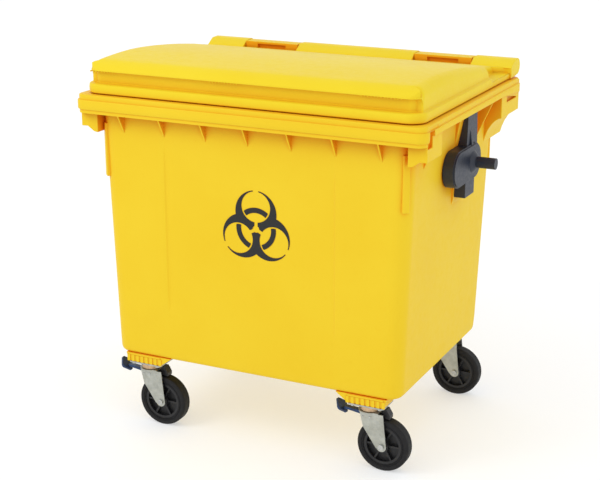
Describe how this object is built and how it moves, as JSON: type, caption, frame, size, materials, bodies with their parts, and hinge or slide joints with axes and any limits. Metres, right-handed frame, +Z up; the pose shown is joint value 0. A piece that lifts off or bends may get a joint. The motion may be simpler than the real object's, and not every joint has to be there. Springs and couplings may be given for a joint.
{
  "type": "biohazard waste bin",
  "caption": "Large yellow wheeled waste container with a crowned hinged lid, side lifting trunnions, swivel castors and a hazard sign.",
  "frame": {"origin": "on the floor, under the middle of the overall width and depth", "axes": "+Z up, the front with the hazard sign faces -Y, +X to the right seen from the front"},
  "size_m": [1.5, 1.083, 1.4336],
  "materials": {
    "tub_plastic": "satin moulded polyethylene with a fine grain",
    "lid_plastic": "satin moulded polyethylene",
    "sign_ink": "flat black print",
    "plug_plastic": "moulded polyethylene",
    "seal_rubber": "matt rubber",
    "bolt_steel": "zinc plated",
    "insert_brass": "machined brass",
    "pin_plastic": "dark brown moulded plastic",
    "trunnion_plastic": "satin black moulded plastic",
    "zinc_steel": "pressed zinc plated steel",
    "race_steel": "passivated steel with an orange-brown tone",
    "ball_steel": "polished ball bearing steel",
    "sleeve_steel": "turned steel tube",
    "wheel_plastic": "black moulded polypropylene",
    "tyre_rubber": "solid black rubber",
    "pedal_paint": "dark blue painted steel",
    "shoe_plastic": "black moulded plastic"
  },
  "bodies": {
    "bin": {"tub": "tub_plastic", "hazard_sign": "sign_ink", "drain_seal": "seal_rubber", "trunnion_bolts": "bolt_steel", "castor_bolts": "bolt_steel", "castor_inserts": "insert_brass", "hinge_pin_left": "pin_plastic", "hinge_pin_right": "pin_plastic", "trunnion_left": "trunnion_plastic", "trunnion_right": "trunnion_plastic", "castor_plate_front_left": "zinc_steel", "castor_plate_front_right": "zinc_steel", "castor_plate_rear_left": "zinc_steel", "castor_plate_rear_right": "zinc_steel", "race_ring_front_left": "race_steel", "race_ring_front_right": "race_steel", "race_ring_rear_left": "race_steel", "race_ring_rear_right": "race_steel", "swivel_balls_front_left": "ball_steel", "swivel_balls_front_right": "ball_steel", "swivel_balls_rear_left": "ball_steel", "swivel_balls_rear_right": "ball_steel", "kingpin_front_left": "zinc_steel", "kingpin_front_right": "zinc_steel", "kingpin_rear_left": "zinc_steel", "kingpin_rear_right": "zinc_steel"},
    "lid": {"lid": "lid_plastic"},
    "drain_plug": {"drain_plug": "plug_plastic"},
    "swivel_front_left": {"fork_front_left": "zinc_steel", "axle_bolt_front_left": "bolt_steel", "axle_nut_front_left": "bolt_steel", "axle_sleeve_front_left": "sleeve_steel", "brake_pins_front_left": "bolt_steel"},
    "wheel_front_left": {"wheel_centre_front_left": "wheel_plastic", "tyre_front_left": "tyre_rubber"},
    "swivel_front_right": {"fork_front_right": "zinc_steel", "axle_bolt_front_right": "bolt_steel", "axle_nut_front_right": "bolt_steel", "axle_sleeve_front_right": "sleeve_steel", "brake_pins_front_right": "bolt_steel"},
    "wheel_front_right": {"wheel_centre_front_right": "wheel_plastic", "tyre_front_right": "tyre_rubber"},
    "swivel_rear_left": {"fork_rear_left": "zinc_steel", "axle_bolt_rear_left": "bolt_steel", "axle_nut_rear_left": "bolt_steel", "axle_sleeve_rear_left": "sleeve_steel"},
    "wheel_rear_left": {"wheel_centre_rear_left": "wheel_plastic", "tyre_rear_left": "tyre_rubber"},
    "swivel_rear_right": {"fork_rear_right": "zinc_steel", "axle_bolt_rear_right": "bolt_steel", "axle_nut_rear_right": "bolt_steel", "axle_sleeve_rear_right": "sleeve_steel"},
    "wheel_rear_right": {"wheel_centre_rear_right": "wheel_plastic", "tyre_rear_right": "tyre_rubber"},
    "pedal_front_left": {"brake_pedal_front_left": "pedal_paint"},
    "shoe_front_left": {"brake_shoe_front_left": "shoe_plastic"},
    "pedal_front_right": {"brake_pedal_front_right": "pedal_paint"},
    "shoe_front_right": {"brake_shoe_front_right": "shoe_plastic"}
  },
  "joints": [
    {"name": "lid_hinge", "type": "hinge", "parent": "bin", "child": "lid", "pos_m": [0, 0.5095, 1.346], "axis": [-1, 0, 0], "range_deg": [0, 213]},
    {"name": "drain_plug_turn", "type": "hinge", "parent": "bin", "child": "drain_plug", "pos_m": [0, -0.0105, 0.29], "axis": [0, 0, 1], "range_deg": [0, 90]},
    {"name": "swivel_front_left", "type": "hinge", "parent": "bin", "child": "swivel_front_left", "pos_m": [-0.464, -0.428, 0.257], "axis": [0, 0, 1], "continuous": true},
    {"name": "wheel_spin_front_left", "type": "hinge", "parent": "swivel_front_left", "child": "wheel_front_left", "pos_m": [-0.406, -0.428, 0.1], "axis": [0, 1, 0], "continuous": true},
    {"name": "swivel_front_right", "type": "hinge", "parent": "bin", "child": "swivel_front_right", "pos_m": [0.464, -0.428, 0.257], "axis": [0, 0, 1], "continuous": true},
    {"name": "wheel_spin_front_right", "type": "hinge", "parent": "swivel_front_right", "child": "wheel_front_right", "pos_m": [0.522, -0.428, 0.1], "axis": [0, 1, 0], "continuous": true},
    {"name": "swivel_rear_left", "type": "hinge", "parent": "bin", "child": "swivel_rear_left", "pos_m": [-0.464, 0.351, 0.257], "axis": [0, 0, 1], "continuous": true},
    {"name": "wheel_spin_rear_left", "type": "hinge", "parent": "swivel_rear_left", "child": "wheel_rear_left", "pos_m": [-0.406, 0.351, 0.1], "axis": [0, 1, 0], "continuous": true},
    {"name": "swivel_rear_right", "type": "hinge", "parent": "bin", "child": "swivel_rear_right", "pos_m": [0.464, 0.351, 0.257], "axis": [0, 0, 1], "continuous": true},
    {"name": "wheel_spin_rear_right", "type": "hinge", "parent": "swivel_rear_right", "child": "wheel_rear_right", "pos_m": [0.522, 0.351, 0.1], "axis": [0, 1, 0], "continuous": true},
    {"name": "brake_press_front_left", "type": "hinge", "parent": "swivel_front_left", "child": "pedal_front_left", "pos_m": [-0.48, -0.428, 0.208], "axis": [0, -1, 0], "range_deg": [0, 18]},
    {"name": "brake_shoe_front_left", "type": "hinge", "parent": "swivel_front_left", "child": "shoe_front_left", "pos_m": [-0.452, -0.428, 0.209], "axis": [0, 1, 0], "range_deg": [0, 4.5]},
    {"name": "brake_press_front_right", "type": "hinge", "parent": "swivel_front_right", "child": "pedal_front_right", "pos_m": [0.448, -0.428, 0.208], "axis": [0, -1, 0], "range_deg": [0, 18]},
    {"name": "brake_shoe_front_right", "type": "hinge", "parent": "swivel_front_right", "child": "shoe_front_right", "pos_m": [0.476, -0.428, 0.209], "axis": [0, 1, 0], "range_deg": [0, 4.5]}
  ],
  "couplings": [
    {"joint": "brake_shoe_front_left", "follows": "brake_press_front_left", "ratio": 0.25},
    {"joint": "brake_shoe_front_right", "follows": "brake_press_front_right", "ratio": 0.25}
  ]
}
